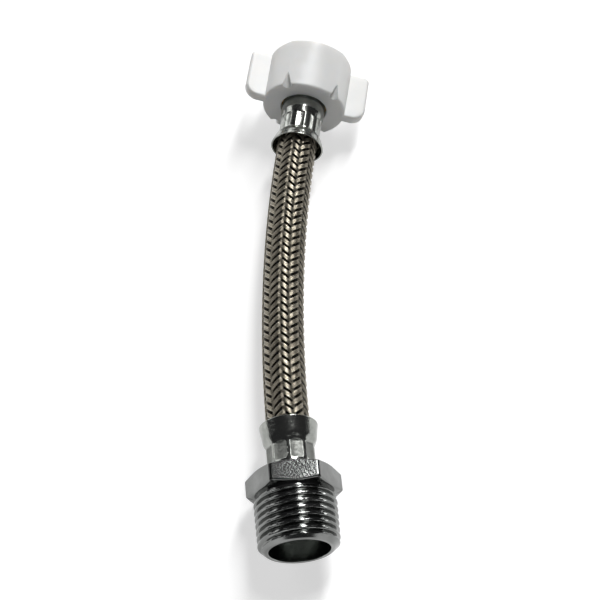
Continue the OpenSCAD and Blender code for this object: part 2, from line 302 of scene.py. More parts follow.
class Graph:
    """Node tree of one material or world."""

    def __init__(self, tree: bpy.types.NodeTree, material: bpy.types.Material | None = None) -> None:
        """Takes a tree and empties it; a material's graph keeps its material too."""
        self.tree = tree
        self.material = material
        tree.nodes.clear()

    def node(self, kind: str, settings: dict[str, Any] | None = None, **inputs: Any) -> bpy.types.Node:
        """Adds a node: first its settings, then the values or links of its sockets.

        Args:
            kind: Node type, such as ShaderNodeMix.
            settings: The node's properties, such as a Math node's operation.
            inputs: Sockets by name, with _ for a space, or by index as in i0.

        Returns:
            The new node.
        """
        node = self.tree.nodes.new(kind)
        for name, value in (settings or {}).items():
            setattr(node, name, value)
        for name, value in inputs.items():
            indexed = name[0] == "i" and name[1:].isdigit()
            socket = node.inputs[int(name[1:])] if indexed else node.inputs[name.replace("_", " ")]
            source = value.socket if isinstance(value, Value) else value
            if isinstance(source, bpy.types.NodeSocket):
                self.tree.links.new(source, socket)
            else:
                socket.default_value = source
        return node

    def value(
        self, kind: str, settings: dict[str, Any] | None = None, output: int | str = 0, **inputs: Any
    ) -> "Value":
        """Adds a node and gives one of its outputs, ready for maths.

        Args:
            kind: Node type.
            settings: The node's properties.
            output: Index or name of the output.
            inputs: Sockets by name or by index, as node takes them.

        Returns:
            The output.
        """
        return Value(self, self.node(kind, settings, **inputs).outputs[output])

    def place(self) -> "Value":
        """Object coordinates of the surface, in metres."""
        return self.value("ShaderNodeTexCoord", output="Object")

    def mark(self, name: str) -> "Value":
        """Value that the piece's points carry under a name."""
        return self.value("ShaderNodeAttribute", {"attribute_name": name}, "Fac")

    def noise(self, where: "Value", size_mm: float, detail: float = 2.0, rough: float = 0.5) -> "Value":
        """Cloudy noise from 0 to 1 with features of a size.

        Args:
            where: Coordinates in metres.
            size_mm: Size of the largest features, in millimetres.
            detail: Octaves of finer features.
            rough: Weight of the finer features.

        Returns:
            The noise.
        """
        scale = 1.0 / (size_mm * MM)
        sockets = {"Vector": where, "Scale": scale, "Detail": detail, "Roughness": rough}
        return self.value("ShaderNodeTexNoise", **sockets)

    def blend(self, share: "Value", low: Any, high: Any) -> "Value":
        """Mixes two colours by a share from 0 to 1."""
        settings = {"data_type": "RGBA"}
        return self.value("ShaderNodeMix", settings, 2, i0=share, i6=opaque(low), i7=opaque(high))

    def relief(self, height: "Value", depth_mm: float) -> "Value":
        """Bump of a depth from a height between 0 and 1."""
        return self.value("ShaderNodeBump", None, 0, Strength=1.0, Distance=depth_mm * MM, Height=height)


def opaque(colour: Any) -> Any:
    """A colour with full alpha; a link is passed on as it is."""
    return (*colour, 1.0) if isinstance(colour, tuple) else colour


class Value:
    """A number or colour in a node tree, on which Python's operators add Math nodes."""

    def __init__(self, graph: Graph, socket: bpy.types.NodeSocket) -> None:
        """Wraps an output socket."""
        self.graph = graph
        self.socket = socket

    def maths(self, operation: str, first: Any, second: Any) -> "Value":
        """Adds a Math node on two numbers or links."""
        return self.graph.value("ShaderNodeMath", {"operation": operation}, i0=first, i1=second)

    def __add__(self, other: Any) -> "Value":
        """self + other."""
        return self.maths("ADD", self, other)

    def __radd__(self, other: Any) -> "Value":
        """other + self."""
        return self.maths("ADD", other, self)

    def __sub__(self, other: Any) -> "Value":
        """self - other."""
        return self.maths("SUBTRACT", self, other)

    def __rsub__(self, other: Any) -> "Value":
        """other - self."""
        return self.maths("SUBTRACT", other, self)

    def __mul__(self, other: Any) -> "Value":
        """self times other."""
        return self.maths("MULTIPLY", self, other)

    def __rmul__(self, other: Any) -> "Value":
        """other times self."""
        return self.maths("MULTIPLY", other, self)

    def step(self, low: float, high: float) -> "Value":
        """Smooth step from 0 at low to 1 at high."""
        settings = {"interpolation_type": "SMOOTHSTEP"}
        return self.graph.value("ShaderNodeMapRange", settings, 0, Value=self, From_Min=low, From_Max=high)


class Finish:
    """What every finish shares: a new material with one Principled shader."""

    slot: str

    def begin(self, name: str) -> Graph:
        """Starts an empty material.

        Args:
            name: Name of the material.

        Returns:
            Its node tree, which keeps the material.
        """
        material = bpy.data.materials.new(name)
        material.use_nodes = True
        return Graph(material.node_tree, material)

    def close(self, graph: Graph, **inputs: Any) -> bpy.types.Material:
        """Adds the Principled shader and the output.

        Args:
            graph: The material's node tree.
            inputs: Sockets of the shader.

        Returns:
            The finished material.
        """
        shader = graph.node("ShaderNodeBsdfPrincipled", None, **inputs)
        graph.node("ShaderNodeOutputMaterial", None, Surface=shader.outputs[0])
        return graph.material

    def dress(self, piece: bpy.types.Object) -> None:
        """Puts the finish on a piece."""
        piece.data.materials.clear()
        piece.data.materials.append(self.material())

    def material(self) -> bpy.types.Material:
        """The finish as a material."""
        raise NotImplementedError


@dataclass(frozen=True)
class PlatedBrass(Finish):
    """Bright plating on turned brass: lathe lines round it, and fine grains on the hexagon's flats."""

    slot: str = "plated_brass"
    bright: Colour = (0.25, 0.255, 0.25)
    dull: Colour = (0.18, 0.185, 0.18)
    # Painted dark reflection: near-black colour on the hexagon's rounded edges.
    edge_dark_reflection: Colour = (0.06, 0.061, 0.06)
    # Painted light: inside the bore the metal is twice as bright as the plating, so the dark bore reads
    # lighter.
    bore_painted_light: Colour = (0.5, 0.52, 0.5)
    roughness: float = 0.12
    flat_roughness: float = 0.11
    lathe_line_mm: float = 0.16
    line_h_mm: float = 0.006
    grain_mm: float = 0.5
    grain_h_mm: float = 0.011

    def material(self) -> bpy.types.Material:
        """Cloudy grey metal with lathe lines; grains on the hexagon's flats, painted dark reflections on
        its edges, painted light in the bore.
        """
        graph = self.begin("plated_brass")
        place = graph.place()
        cloud = graph.noise(place, 6.0, 4.0)
        flat = graph.mark("flat")
        run = graph.value("ShaderNodeCombineXYZ", None, 0, X=graph.mark("run") * MM)
        lines = graph.noise(run, self.lathe_line_mm, 3.0, 0.7)
        grains = graph.noise(place, self.grain_mm, 1.0)
        skin = graph.blend(cloud.step(0.35, 0.7), self.dull, self.bright)
        # The hexagon's rounded edges get a painted dark reflection.
        edge_darkened = graph.blend(graph.mark("edge"), skin, self.edge_dark_reflection)
        turned = self.roughness + cloud * 0.04
        relief_mm = graph.blend(flat, lines * self.line_h_mm, grains * self.grain_h_mm)
        return self.close(
            graph,
            # Inside the bore the colour is painted light.
            Base_Color=graph.blend(graph.mark("bore"), edge_darkened, self.bore_painted_light),
            Metallic=1.0,
            Roughness=graph.blend(flat, turned, self.flat_roughness + cloud * 0.02),
            Normal=graph.relief(relief_mm, 1.0),
        )


@dataclass(frozen=True)
class FerruleSteel(Finish):
    """Bright plated sheet steel, scuffed by the crimping jaws."""

    slot: str = "ferrule_steel"
    bright: Colour = (0.38, 0.39, 0.365)
    dull: Colour = (0.27, 0.28, 0.265)
    worn: Colour = (0.24, 0.247, 0.232)
    roughness: float = 0.1

    def material(self) -> bpy.types.Material:
        """Cloudy bright metal, worn and dented in the crimp, with fine scuffs elsewhere."""
        graph = self.begin("ferrule_steel")
        place = graph.place()
        cloud = graph.noise(place, 3.0, 3.0)
        dish = graph.mark("dish")
        dents = graph.noise(place, 1.3, 2.0)
        scuffs = graph.noise(place, 0.35, 3.0, 0.65)
        skin = graph.blend(cloud.step(0.3, 0.75), self.dull, self.bright)
        return self.close(
            graph,
            Base_Color=graph.blend(dish.step(0.55, 1.0), skin, self.worn),
            Metallic=1.0,
            Roughness=self.roughness + scuffs * 0.14 + dish * 0.36,
            Normal=graph.relief(dents * (dish + 0.5) + scuffs * 0.2 * (dish + 0.3), 0.16),
        )


@dataclass(frozen=True)
class BraidSteel(Finish):
    """Stainless wire with a warm cast, each wire a little lighter or darker than the next."""

    slot: str = "braid_steel"
    light: Colour = (0.46, 0.424, 0.345)
    dark: Colour = (0.19, 0.172, 0.134)
    # Painted shade: near-black colour where a wire dips under the other lay.
    dip_shade: Colour = (0.02, 0.017, 0.012)
    roughness: float = 0.23

    def material(self) -> bpy.types.Material:
        """Warm grey metal, toned by each wire's own mark and a slow cloud, with painted shade where it
        dips.
        """
        graph = self.begin("braid_steel")
        place = graph.place()
        cloud = graph.noise(place, 4.0, 3.0)
        shade = graph.mark("strand") * 0.6 + cloud * 0.4
        streaks = graph.noise(place, 0.12, 2.0)
        # This share falls to 0 where a wire dips under the other lay, and there the colour is painted
        # shade.
        unshaded = (graph.mark("lift") + cloud * 0.3).step(-0.7, 0.25)
        return self.close(
            graph,
            Base_Color=graph.blend(unshaded, self.dip_shade, graph.blend(shade, self.dark, self.light)),
            Metallic=1.0,
            Roughness=self.roughness + streaks * 0.1 + (1.0 - unshaded) * 0.25,
            Normal=graph.relief(streaks, 0.006),
        )


@dataclass(frozen=True)
class Rubber(Finish):
    """Black rubber with a dusty bloom."""

    slot: str
    colour: Colour = (0.012, 0.012, 0.012)
    bloom: Colour = (0.035, 0.034, 0.032)
    roughness: float = 0.55

    def material(self) -> bpy.types.Material:
        """Near-black, with a paler bloom in clouds and a fine moulded grain."""
        graph = self.begin(self.slot)
        place = graph.place()
        cloud = graph.noise(place, 2.5, 4.0, 0.6)
        grain = graph.noise(place, 0.3, 2.0)
        return self.close(
            graph,
            Base_Color=graph.blend(cloud.step(0.4, 0.8), self.colour, self.bloom),
            Roughness=self.roughness + cloud * 0.2,
            Normal=graph.relief(grain, 0.02),
        )


@dataclass(frozen=True)
class StemBrass(Finish):
    """Bare turned brass, a little tarnished."""

    slot: str = "stem_brass"
    bright: Colour = (0.78, 0.58, 0.26)
    tarnish: Colour = (0.45, 0.30, 0.12)
    roughness: float = 0.24

    def material(self) -> bpy.types.Material:
        """Yellow metal with tarnish in clouds and fine lathe lines."""
        graph = self.begin("stem_brass")
        place = graph.place()
        cloud = graph.noise(place, 3.0, 4.0, 0.6)
        run = graph.value("ShaderNodeCombineXYZ", None, 0, X=graph.mark("run") * MM)
        lines = graph.noise(run, 0.18, 3.0, 0.7)
        return self.close(
            graph,
            Base_Color=graph.blend(cloud.step(0.45, 0.8), self.bright, self.tarnish),
            Metallic=1.0,
            Roughness=self.roughness + cloud * 0.15,
            Normal=graph.relief(lines, 0.006),
        )


@dataclass(frozen=True)
class NutPlastic(Finish):
    """White moulded plastic: a soft skin with faint flow clouds."""

    slot: str = "nut_plastic"
    pale: Colour = (0.80, 0.80, 0.79)
    shade: Colour = (0.77, 0.775, 0.76)
    roughness: float = 0.36

    def material(self) -> bpy.types.Material:
        """Off-white with slow clouds, a fine skin texture and a shallow glow beneath it."""
        graph = self.begin("nut_plastic")
        place = graph.place()
        cloud = graph.noise(place, 9.0, 3.0)
        skin = graph.noise(place, 0.5, 2.0)
        ripple = graph.noise(place, 5.0, 1.0)
        return self.close(
            graph,
            Base_Color=graph.blend(cloud.step(0.3, 0.7), self.shade, self.pale),
            Roughness=self.roughness + skin * 0.12,
            Normal=graph.relief(skin * 0.06 + ripple, 0.12),
            Subsurface_Weight=0.5,
            Subsurface_Radius=(1.0, 0.9, 0.8),
            Subsurface_Scale=3.0 * MM,
        )


# The hose's route, which every place hangs on


@dataclass(frozen=True)
class Route:
    """Centre line of the hose: straight in the inlet ferrule, one arc, straight in the outlet ferrule."""

    start_y: float
    inlet_len: float
    outlet_len: float = 17.2
    free_len: float = 92.0
    bow: float = math.radians(13.0)
    tilt: float = math.radians(6.5)

    @property
    def length(self) -> float:
        """Length of the hose from one ferrule's base to the other's."""
        return self.inlet_len + self.free_len + self.outlet_len

    @property
    def across(self) -> Array:
        """Direction in which the hose bows."""
        return np.array([math.cos(self.tilt), 0.0, math.sin(self.tilt)])

    @property
    def above(self) -> Array:
        """Direction square to the bow's plane."""
        return np.array([-math.sin(self.tilt), 0.0, math.cos(self.tilt)])

    def at(self, distance: Array) -> tuple[Array, Array, Array]:
        """Centre line at distances from the inlet ferrule's base.

        In the bow, with b the angle turned and R its radius, the centre moves R sin b ahead and
        R (1 - cos b) across; past it, straight on.

        Args:
            distance: Distances along the hose.

        Returns:
            Centre, direction to the right and direction ahead at each distance.
        """
        distance = np.asarray(distance, float)[..., None]
        ahead = np.array([0.0, 1.0, 0.0])
        radius = self.free_len / self.bow
        turned = np.clip((distance - self.inlet_len) / radius, 0.0, self.bow)
        right = np.cos(turned) * self.across - np.sin(turned) * ahead
        forward = np.sin(turned) * self.across + np.cos(turned) * ahead
        straight = np.minimum(distance, self.inlet_len) * ahead
        past = np.maximum(distance - self.inlet_len - self.free_len, 0.0)
        bowed = radius * (np.sin(turned) * ahead + (1.0 - np.cos(turned)) * self.across)
        centre = np.array([0.0, self.start_y, 0.0]) + straight + bowed + past * forward
        return centre, right, forward

    def outlet(self) -> Place:
        """Place of the outlet: its ferrule's mouth, looking away from the hose."""
        centre, right, forward = self.at(np.array(self.inlet_len + self.free_len))
        return Place(centre, right, self.above, forward)


INLET = Place(np.zeros(3), np.array([1.0, 0.0, 0.0]), np.array([0.0, 0.0, 1.0]), np.array([0.0, 1.0, 0.0]))


@dataclass(frozen=True)
class Thread:
    """Right-handed screw thread: rounded ridges that climb one pitch in each turn."""

    pitch: float = 25.4 / 14.0
    depth: float = 1.1

    def ridge(self, angle: Array, height: Array) -> Array:
        """Height of the ridge, from 0 at a root to 1 at a crest.

        The phase is height over pitch less angle over a full turn. A triangle wave of the phase,
        held between its lands and eased, gives the ridge.

        Args:
            angle: Turn about the axis.
            height: Distance along the axis.

        Returns:
            The ridge at each point.
        """
        phase = (height / self.pitch - angle / TAU) % 1.0
        triangle = 1.0 - np.abs(2.0 * phase - 1.0)
        return eased((triangle - 0.14) / 0.66)


def lathe_run(path: Array) -> Array:
    """Distance along an outline, for finishes that draw lathe lines.

    Args:
        path: (rows, angles, 2) outline.

    Returns:
        (rows, 1) distances.
    """
    steps = np.linalg.norm(np.diff(path[:, 0], axis=0), axis=-1)
    return np.concatenate([[0.0], np.cumsum(steps)])[:, None]


@dataclass
class MaleFitting:
    """Turned and milled brass fitting: thread, neck, hexagon and barbed stem in one piece."""

    finish: PlatedBrass = field(default_factory=PlatedBrass)
    thread: Thread = field(default_factory=Thread)
    mouth_z: float = -1.5
    rim_w: float = 0.75
    bore_r: float = 8.0
    root_r: float = 9.55
    taper: float = 0.02
    run_out_len: float = 1.5
    hex_near_z: float = 13.354
    hex_h: float = 5.8
    hex_half_af: float = 11.0
    hex_face_r: float = 10.8
    hex_edge_r: float = 0.8
    bevel: float = math.radians(21.0)
    bore_end_z: float = 13.2
    cone_end_z: float = 16.354
    waterway_r: float = 2.75
    collar_r: float = 4.5
    collar_h: float = 0.6
    stem_r: float = 3.93
    stem_len: float = 12.0
    barbs: int = 3
    barb_h: float = 0.4
    barb_edge: float = 0.02
    mark_gap: float = 0.05
    shank_rows: int = 150
    columns: int = 288

    def angles(self) -> Array:
        """Angles round the axis, gathered towards the hexagon's six edges: t + 0.1 sin 6 t."""
        t = np.arange(self.columns) * TAU / self.columns
        return t + 0.1 * np.sin(6.0 * t)

    def hexagon(self, angle: Array) -> Array:
        """Radius of a hexagon with rounded edges.

        On a flat it is the apothem over the cosine of the angle from the flat's middle. Past the
        flat's end it is the far side of a circle of the edge's radius about a corner of the
        smaller hexagon that lies one such radius inside.

        Args:
            angle: Turn about the axis, from the middle of the top flat.

        Returns:
            Radius at each angle.
        """
        half = math.pi / 6.0
        turn = np.abs((angle + half) % (2.0 * half) - half)
        inner = self.hex_half_af - self.hex_edge_r
        corner = inner / math.cos(half)
        flat_end = math.atan(inner * math.tan(half) / self.hex_half_af)
        lean = half - turn
        reach = np.maximum(self.hex_edge_r**2 - (corner * np.sin(lean)) ** 2, 0.0)
        rounded = corner * np.cos(lean) + np.sqrt(reach)
        return np.where(turn < flat_end, self.hex_half_af / np.cos(turn), rounded)

    def threaded_shank(self, angle: Array) -> Array:
        """Outside of the thread from the hexagon to the mouth, as radius and height.

        The crests lean in by the taper towards the mouth, run out before the hexagon and are cut
        by the bevel that leads them in.

        Args:
            angle: (columns,) angles.

        Returns:
            (rows, columns, 2) outline.
        """
        height = np.linspace(self.hex_near_z, self.mouth_z + 0.1, self.shank_rows)[:, None]
        root = self.root_r + self.taper * height
        fade = eased((self.hex_near_z - 0.3 - height) / self.run_out_len)
        crest = root + self.thread.depth * self.thread.ridge(angle, height) * fade
        lead = self.bore_r + self.rim_w + 0.12 + (height - self.mouth_z) * 1.25
        radius = soft_min(crest, lead, 0.35)
        return np.stack(np.broadcast_arrays(radius, height), -1)

    def inside(self) -> Array:
        """Rim, bore, drilled cone, waterway and the barbed stem back to the hexagon's far face."""
        far_z = self.hex_near_z + self.hex_h
        tip_z = far_z + self.stem_len
        step = (self.stem_len - self.collar_h) / self.barbs
        corners = [(self.bore_r + self.rim_w, self.mouth_z), (self.bore_r, self.mouth_z)]
        corners += [(self.bore_r, self.bore_end_z), (self.waterway_r, self.cone_end_z)]
        corners += [(self.waterway_r, tip_z), (self.stem_r - self.barb_h, tip_z)]
        for i in range(self.barbs):
            base_z = tip_z - (i + 1) * step
            drop = self.barb_h * (i < self.barbs - 1)
            corners += [(self.stem_r, base_z), (self.stem_r - drop, base_z - self.barb_edge)]
        corners += [(self.collar_r, far_z + self.collar_h), (self.collar_r, far_z)]
        fillets = [0.2, 0.22] + [0.15] * (len(corners) - 2)
        return rounded_path(corners, fillets, 1.2)

    def hexagon_side(self, angle: Array) -> Array:
        """Hexagon from its far face to its near face, bevelled back from its edges on both."""
        outer = self.hexagon(angle)
        drop = (outer - self.hex_face_r) * math.tan(self.bevel)
        near, far = self.hex_near_z, self.hex_near_z + self.hex_h
        inner = self.root_r + self.taper * near
        corners = [(self.collar_r + 0.3, far), (self.hex_face_r, far), (outer, far - drop)]
        corners += [(outer, near + drop), (self.hex_face_r, near), (inner, near)]
        return rounded_path(corners, [0.0, 0.25, 0.3, 0.3, 0.25, 0.0], 0.5)

    def build(self) -> bpy.types.Object:
        """Makes the fitting.

        Returns:
            The finished piece.
        """
        angle = self.angles()
        parts = [self.threaded_shank(angle), self.inside(), self.hexagon_side(angle)]
        path = np.concatenate([np.broadcast_to(p, (len(p), self.columns, 2)) for p in parts])
        radius, height = path[..., 0], path[..., 1]
        near, far = self.hex_near_z, self.hex_near_z + self.hex_h
        between = (height > near + self.mark_gap) & (height < far - self.mark_gap)
        side = between & (radius - self.hex_face_r > self.mark_gap)
        # bore marks the bore, where the finish paints the metal lighter.
        bore = (radius < self.bore_r + 2.0 * self.mark_gap) & (height < near)
        # edge marks the hexagon's rounded edges, where the finish paints a dark reflection.
        from_edge = np.abs(angle % (math.pi / 3.0) - math.pi / 6.0)
        edge = side & (from_edge < self.hex_edge_r / self.hex_half_af / 2.0)
        marks = {"run": lathe_run(path), "flat": side * 1.0, "bore": bore * 1.0, "edge": edge * 1.0}
        surface = Surface()
        surface.add_ring(INLET.point(radius, angle, height), **marks)
        piece = surface.build("fitting_male")
        self.finish.dress(piece)
        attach(piece, Body.INLET.value)
        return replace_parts(piece, "male_fitting")


@dataclass
class Ferrule:
    """Crimped steel ferrule from its turned-in base to its flared mouth."""

    name: str
    node: str
    body: Body
    place: Place
    plain_len: float
    flare_len: float
    jaw_turn: float
    wear: float
    waist: float = 0.0
    waist_ramp: float = 2.0
    finish: FerruleSteel = field(default_factory=FerruleSteel)
    barrel_r: float = 6.45
    dish_r: float = 5.86
    dish_bow: float = 2.4
    bore_r: float = 5.6
    base_bore_r: float = 4.55
    base_t: float = 0.6
    crimp_len: float = 5.7
    shoulder_len: float = 1.2
    shoulder_r: float = 7.15
    mouth_r: float = 7.9
    wall: float = 0.45
    jaws: int = 9
    ridge_w: float = 0.62
    dish_corner: float = 0.9
    dish_slope: float = 0.42
    pucker: float = 0.28
    pucker_w: float = 0.8
    columns: int = 432

    def dish(self, angle: Array, height: Array) -> Array:
        """Share of the full crimp at each point, from 0 on a ridge to 1 in a dish.

        Each jaw leaves a rectangle with rounded corners. The distance inside its outline, from
        how far a point lies round the barrel and along it from the rectangle's middle, is eased
        over the dish's slope.

        Args:
            angle: Turn about the axis.
            height: Distance from the base.

        Returns:
            The share at each point.
        """
        pitch = TAU / self.jaws
        turn = self.from_jaw(angle)
        half_across = pitch * self.barrel_r / 2.0 - self.ridge_w / 2.0
        half_along = self.crimp_len / 2.0
        middle = self.plain_len + half_along
        across = np.abs(turn) * self.barrel_r - half_across + self.dish_corner
        along = np.abs(height - middle) - half_along + self.dish_corner
        outside = np.hypot(np.maximum(across, 0.0), np.maximum(along, 0.0)) - self.dish_corner
        inside = np.minimum(np.maximum(across, along), 0.0)
        return eased(-(outside + inside) / self.dish_slope)

    def from_jaw(self, angle: Array) -> Array:
        """Turn from the middle of the nearest jaw."""
        pitch = TAU / self.jaws
        return (angle - self.jaw_turn + pitch / 2.0) % pitch - pitch / 2.0

    def puckers(self, angle: Array, height: Array) -> Array:
        """How far the shoulder is drawn in above each dish.

        Round the barrel it is a cosine squared, 1 above a dish and 0 above a ridge; along it, a
        bell exp(-x^2), with x the distance from the shoulder's middle over the pucker's width.

        Args:
            angle: Turn about the axis.
            height: Distance from the base.

        Returns:
            The depth at each point.
        """
        middle = self.plain_len + self.crimp_len + self.shoulder_len / 2.0
        bell = np.exp(-(((height - middle) / self.pucker_w) ** 2))
        return self.pucker * bell * np.cos(self.from_jaw(angle) * self.jaws / 2.0) ** 2

    def waisted(self, height: Array) -> Array:
        """Share of the waist's depth: it grows along the plain neck's end and goes at the shoulder."""
        rise = np.clip((height - self.plain_len + self.waist_ramp) / self.waist_ramp, 0.0, 1.0)
        crimp_z = self.plain_len + self.crimp_len
        return rise * eased((crimp_z + self.shoulder_len - height) / self.shoulder_len)

    def outside(self) -> Array:
        """Outline from the base's hole over the barrel, the shoulder and the flare to the lip."""
        crimp_z = self.plain_len + self.crimp_len
        end_z = crimp_z + self.flare_len
        corners = [(self.base_bore_r, 0.0), (self.barrel_r, 0.0), (self.barrel_r, crimp_z)]
        corners += [(self.shoulder_r, crimp_z + self.shoulder_len), (self.mouth_r, end_z)]
        corners += [(self.mouth_r - self.wall, end_z)]
        return rounded_path(corners, [0.0, 0.3, 0.5, 0.7, 0.2, 0.0], 0.12)

    def inside(self) -> Array:
        """Outline from the lip back down the flare and the bore to the base's hole."""
        crimp_z = self.plain_len + self.crimp_len
        end_z = crimp_z + self.flare_len
        shoulder_r = self.shoulder_r - self.wall
        corners = [(self.mouth_r - self.wall, end_z - 0.02), (shoulder_r, crimp_z + self.shoulder_len)]
        corners += [(self.bore_r, crimp_z), (self.bore_r, self.base_t)]
        corners += [(self.base_bore_r, self.base_t), (self.base_bore_r, 0.1)]
        return rounded_path(corners, [0.0, 0.5, 0.4, 0.15, 0.1, 0.0], 0.6)

    def build(self) -> bpy.types.Object:
        """Makes the ferrule.

        Returns:
            The finished piece.
        """
        angle = np.arange(self.columns) * TAU / self.columns
        outer, inner = self.outside(), self.inside()
        radius, height = outer[..., 0], outer[..., 1]
        share = self.dish(angle, height) * (radius > self.barrel_r - 0.05)
        floor = self.dish_r * (1.0 + self.dish_bow * (1.0 / np.cos(self.from_jaw(angle)) - 1.0))
        waisted = radius - self.waist * self.waisted(height)
        crimped = waisted - share * np.maximum(waisted - floor, 0.0) - self.puckers(angle, height)
        inside = np.broadcast_to(inner[..., 0], (len(inner), self.columns))
        radii = np.concatenate([crimped, inside])
        heights = np.concatenate([height, inner[..., 1]])
        dish = np.concatenate([share * self.wear, np.zeros_like(inside)])
        surface = Surface()
        surface.add_ring(self.place.point(radii, angle, heights), dish=dish)
        piece = surface.build(self.name)
        self.finish.dress(piece)
        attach(piece, self.body.value)
        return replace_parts(piece, self.node)


@dataclass
class Hose:
    """Rubber tube under a braid of wire: twelve bundles each way, two over and two under."""

    route: Route
    tube_finish: Rubber = field(default_factory=lambda: Rubber("tube_rubber"))
    wire_finish: BraidSteel = field(default_factory=BraidSteel)
    outside_r: float = 5.95
    tube_r: float = 5.15
    tube_bore_r: float = 4.0
    squeeze: float = 0.4
    inlet_crimp_z: float = 7.85
    outlet_crimp_z: float = 13.3
    swell_len: float = 2.0
    end_gap: float = 0.65
    bundles: int = 12
    wires: int = 3
    wire_d: float = 0.36
    wire_gap: float = 0.02
    wire_h: float = 0.27
    lead: float = 28.8
    turn: float = math.radians(2.5)
    wave_share: float = 0.95
    shade_seed: int = 7
    crease: float = 70.0
    samples: int = 260
    sides: int = 8
    tube_rows: int = 121
    tube_sides: int = 64
    path_points: int = 41

    def squeezed(self, distance: Array) -> Array:
        """How far the crimps press the hose in at distances along it."""
        inlet = eased((distance - self.inlet_crimp_z) / self.swell_len)
        outlet = eased((self.route.length - distance - self.outlet_crimp_z) / self.swell_len)
        return self.squeeze * (1.0 - np.minimum(inlet, outlet))

    def span(self, count: int) -> Array:
        """Evenly spaced distances from one end of the hose to the other."""
        return np.linspace(self.end_gap, self.route.length - self.end_gap, count)

    def weave(self, angle: Array) -> Array:
        """Which lay is on top at an angle: 1 for the left lay, -1 for the right.

        Crossings lie every half bundle round the hose, and each lay stays on top for two of
        them, so the wave has a quarter as many periods as there are crossings. It is a sine
        and a fifth of its third harmonic, which holds a wire straight over the two it spans.

        Args:
            angle: Turn about the hose.

        Returns:
            The wave at each angle.
        """
        periods = self.bundles / 2.0
        half_crossing = TAU / self.bundles / 4.0
        phase = periods * (angle - self.turn + half_crossing)
        return np.sin(phase) + 0.2 * np.sin(3.0 * phase)

    def wire_rings(self, lay: Lay) -> tuple[Array, Array, Array]:
        """Rings of every wire of one lay.

        A wire's angle is its bundle's, plus or minus a full turn for each lead along the hose,
        less its own shift along the hose within the bundle. Its radius is the braid's middle
        plus or minus the weave, almost a wire high, so that crossing wires clear each other.
        A wire is pressed a little flat, wider than high.

        Args:
            lay: Which way the wires wind.

        Returns:
            (wires, samples, sides, 3) points, one shade for each wire and (wires, samples) lifts.
        """
        wave_h = self.wave_share * self.wire_h
        middle = self.outside_r - self.wire_h / 2.0 - wave_h
        slope = math.atan(TAU * middle / self.lead)
        order = np.arange(self.wires) - (self.wires - 1) / 2.0
        shift = order * (self.wire_d + self.wire_gap) / math.sin(slope)
        bundle = np.arange(self.bundles) * TAU / self.bundles
        distance = self.span(self.samples)
        angle = lay.value * TAU * (distance - shift[None, :, None]) / self.lead
        angle = (angle + bundle[:, None, None] + self.turn).reshape(-1, self.samples)
        # The wire finish reads lift to paint shade where a wire dips under the other lay.
        lift = -lay.value * self.weave(angle)
        radius = middle + wave_h * lift - self.squeezed(distance)
        centre, right, ahead = self.route.at(distance)
        outward = np.sin(angle)[..., None] * right + np.cos(angle)[..., None] * self.route.above
        line = centre + radius[..., None] * outward
        tangent = np.gradient(line, axis=1)
        tangent /= np.linalg.norm(tangent, axis=-1, keepdims=True)
        beside = np.cross(tangent, outward)
        beside /= np.linalg.norm(beside, axis=-1, keepdims=True)
        above = np.cross(beside, tangent)
        around = ((np.arange(self.sides) + 0.5) * TAU / self.sides)[:, None]
        tall = rolled(np.cos(around)) * self.wire_h / 2.0 * above[:, :, None]
        wide = rolled(np.sin(around)) * self.wire_d / 2.0 * beside[:, :, None]
        shade = np.random.default_rng(self.shade_seed + lay.value).random(len(angle))
        return line[:, :, None] + tall + wide, shade, lift

    def build_lay(self, lay: Lay, name: str) -> bpy.types.Object:
        """Makes all the wires of one lay.

        Args:
            lay: Which way the wires wind.
            name: Name of the piece.

        Returns:
            The finished piece.
        """
        rings, shade, lift = self.wire_rings(lay)
        surface = Surface()
        surface.add_tubes(rings, strand=shade[:, None], lift=lift)
        piece = surface.build(name, self.crease)
        self.wire_finish.dress(piece)
        self.flex(piece)
        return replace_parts(piece, "braid_sleeve")

    def build_tube(self) -> bpy.types.Object:
        """Makes the rubber tube: an outline of its wall carried round the route.

        Returns:
            The finished piece.
        """
        distance = self.span(self.tube_rows)
        outer = self.tube_r - self.squeezed(distance)
        radius = np.concatenate([outer, np.full(len(distance), self.tube_bore_r)])[:, None]
        centre, right, _ = self.route.at(np.concatenate([distance, distance[::-1]]))
        angle = np.arange(self.tube_sides) * TAU / self.tube_sides
        outward = np.sin(angle)[:, None] * right[:, None] + np.cos(angle)[:, None] * self.route.above
        surface = Surface()
        surface.add_ring(centre[:, None] + radius[..., None] * outward)
        piece = surface.build("hose_tube")
        self.tube_finish.dress(piece)
        self.flex(piece)
        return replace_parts(piece, "inner_tube")

    def flex(self, piece: bpy.types.Object) -> None:
        """Bakes a piece's transform into its mesh; the mouths of the two ferrules are found but not used.
        """
        ends = np.array([self.route.inlet_len, self.route.inlet_len + self.route.free_len])
        start, end = self.route.at(ends)[0] * MM
        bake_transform(piece)

    def build(self) -> list[bpy.types.Object]:
        """Returns:
            The finished pieces.
        """
        tube = self.build_tube()
        lays = [self.build_lay(Lay.RIGHT, "braid_right_lay"), self.build_lay(Lay.LEFT, "braid_left_lay")]
        path = self.route.at(self.span(self.path_points))[0] * MM
        return [tube, *lays]


